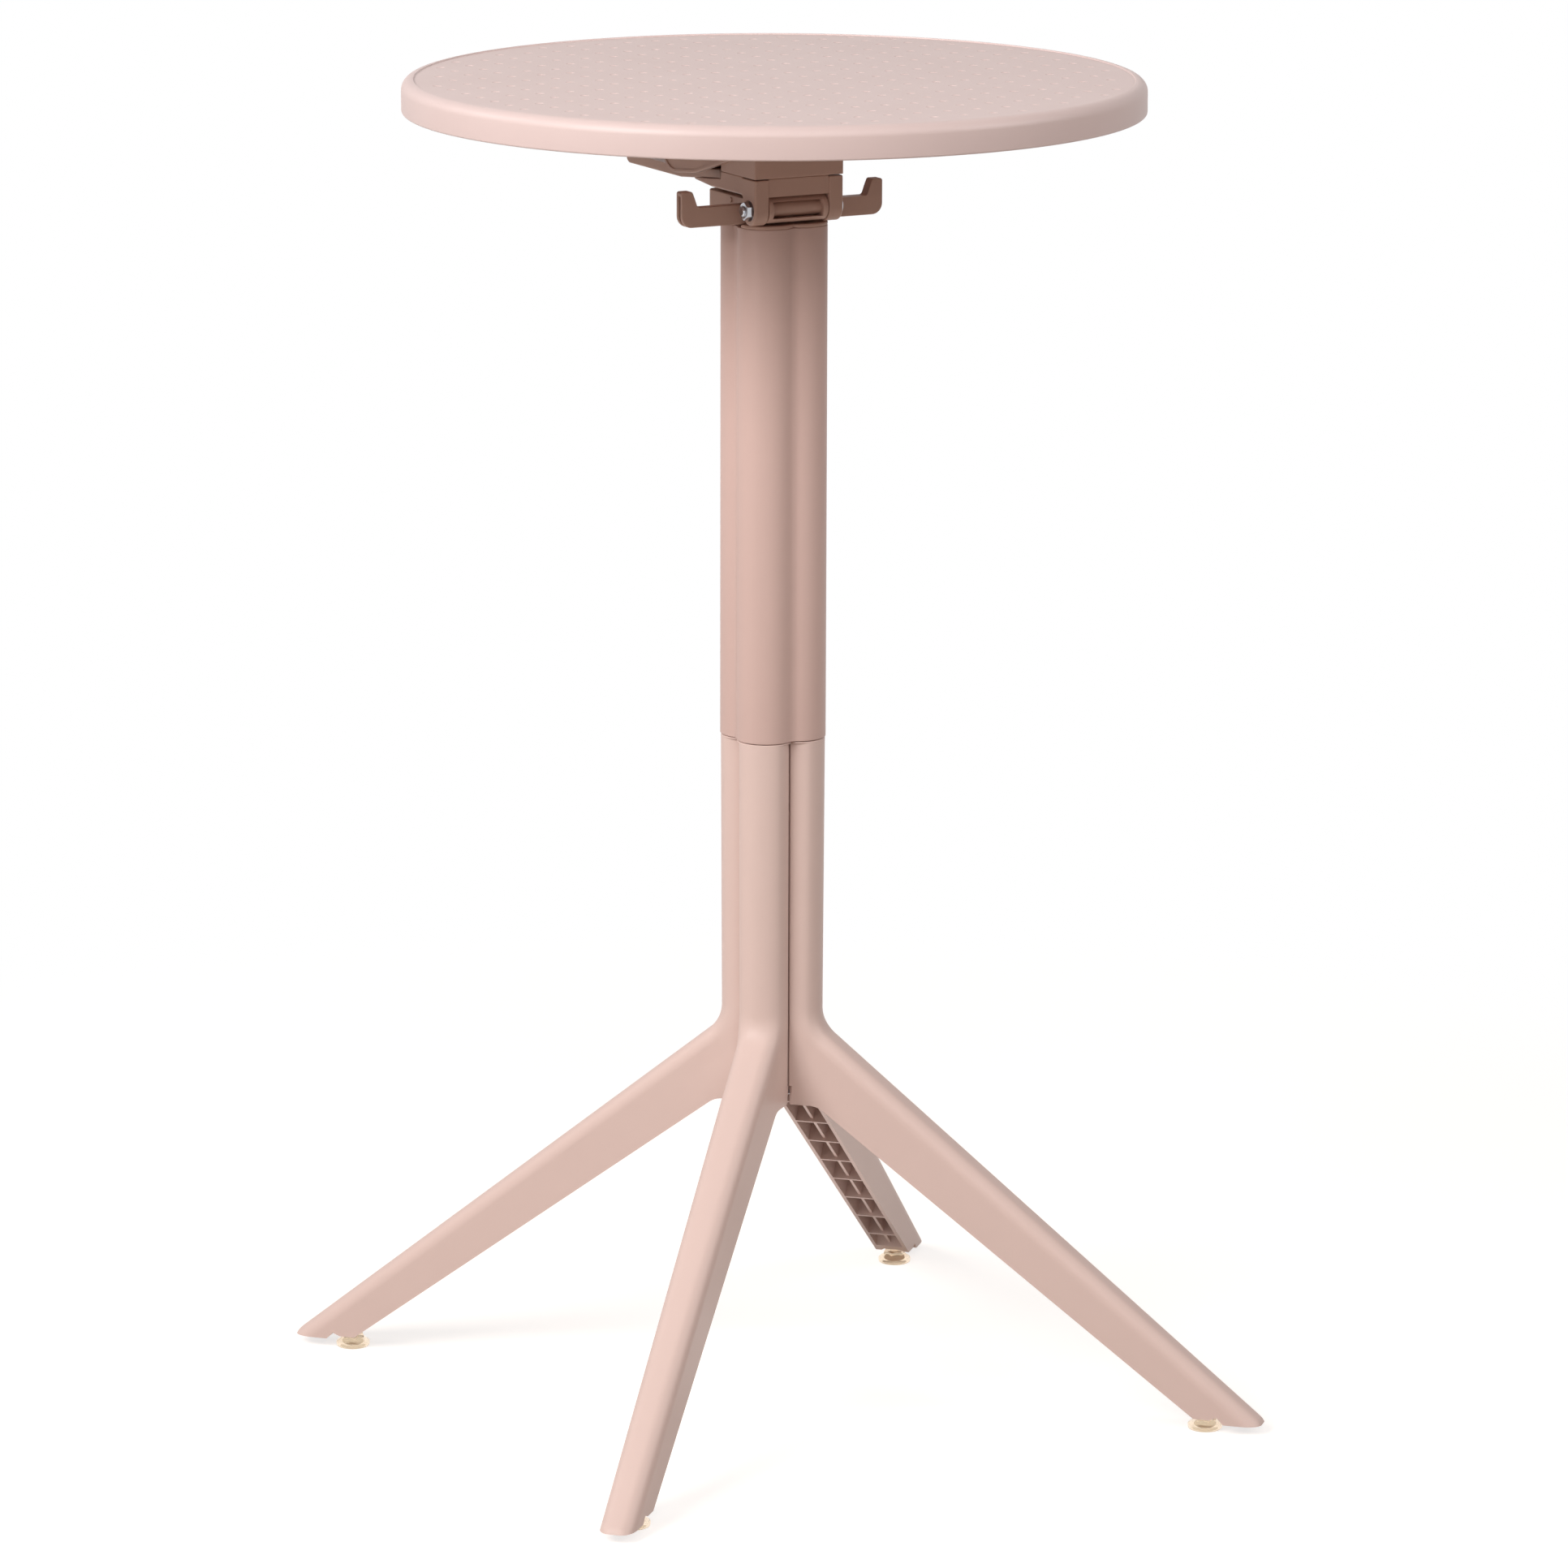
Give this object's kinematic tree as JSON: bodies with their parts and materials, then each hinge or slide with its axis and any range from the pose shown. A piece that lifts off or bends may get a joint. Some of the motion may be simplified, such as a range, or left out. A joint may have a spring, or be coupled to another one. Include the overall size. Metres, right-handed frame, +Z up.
{
  "type": "outdoor bar table",
  "caption": "Tall round resin table whose ribbed top tips up on a latched hinge head with bag hooks, on a lobed column with splayed, open-bottomed legs and screw-in feet.",
  "frame": {"origin": "on the floor, under the middle of the column", "axes": "+Z up; X along the hinge bolt and the bag-hook bar; -Y towards the hinge, the side that the top tips to; the legs lie on the diagonals"},
  "size_m": [0.601, 0.601, 1.083],
  "materials": {
    "taupe_top": "fine matt moulded resin, pinkish taupe",
    "taupe_frame": "satin moulded resin, pinkish taupe",
    "clear_foot": "clear soft resin, slightly yellow",
    "zinc": "bright zinc plate",
    "spring_steel": "dark tempered strip",
    "pad_rubber": "matt black rubber",
    "insert_brass": "plain turned brass"
  },
  "bodies": {
    "stand": {"column_head": "taupe_frame", "rest_pads": "pad_rubber", "hook_bar": "taupe_frame", "upper_column": "taupe_frame", "pivot_sleeve": "taupe_frame", "tie_rod": "zinc", "base_clamp": "zinc", "head_washer": "zinc", "base_nut": "zinc", "head_nut": "zinc", "leg_back": "taupe_frame", "leg_left": "taupe_frame", "leg_front": "taupe_frame", "leg_right": "taupe_frame", "foot_insert_back": "insert_brass", "foot_insert_left": "insert_brass", "foot_insert_front": "insert_brass", "foot_insert_right": "insert_brass"},
    "top": {"tabletop": "taupe_top", "carrier_bracket": "taupe_frame", "carrier_screws": "zinc", "tilt_yoke": "taupe_frame", "yoke_screws": "zinc", "lever_pin": "zinc", "lever_spring": "spring_steel", "spring_screw": "zinc", "pivot_bolt": "zinc", "pivot_nut": "zinc", "pivot_washers": "zinc"},
    "lever": {"release_lever": "taupe_frame"},
    "glide_back": {"foot_back": "clear_foot"},
    "glide_left": {"foot_left": "clear_foot"},
    "glide_front": {"foot_front": "clear_foot"},
    "glide_right": {"foot_right": "clear_foot"}
  },
  "joints": [
    {"name": "top_fold", "type": "hinge", "parent": "stand", "child": "top", "pos_m": [0, -0.032, 0.983], "axis": [1, 0, 0], "range_deg": [0, 90]},
    {"name": "release_lever", "type": "hinge", "parent": "top", "child": "lever", "pos_m": [0, 0.075, 1.007], "axis": [1, 0, 0], "range_deg": [-5, 7], "stiffness_Nm_per_rad": 6, "springref_deg": -4.98, "deforming": ["lever_spring"]},
    {"name": "foot_height_back", "type": "slide", "parent": "stand", "child": "glide_back", "axis": [0, 0, 1], "range_m": [-0.006, 0.003]},
    {"name": "foot_height_left", "type": "slide", "parent": "stand", "child": "glide_left", "axis": [0, 0, 1], "range_m": [-0.006, 0.003]},
    {"name": "foot_height_front", "type": "slide", "parent": "stand", "child": "glide_front", "axis": [0, 0, 1], "range_m": [-0.006, 0.003]},
    {"name": "foot_height_right", "type": "slide", "parent": "stand", "child": "glide_right", "axis": [0, 0, 1], "range_m": [-0.006, 0.003]}
  ]
}
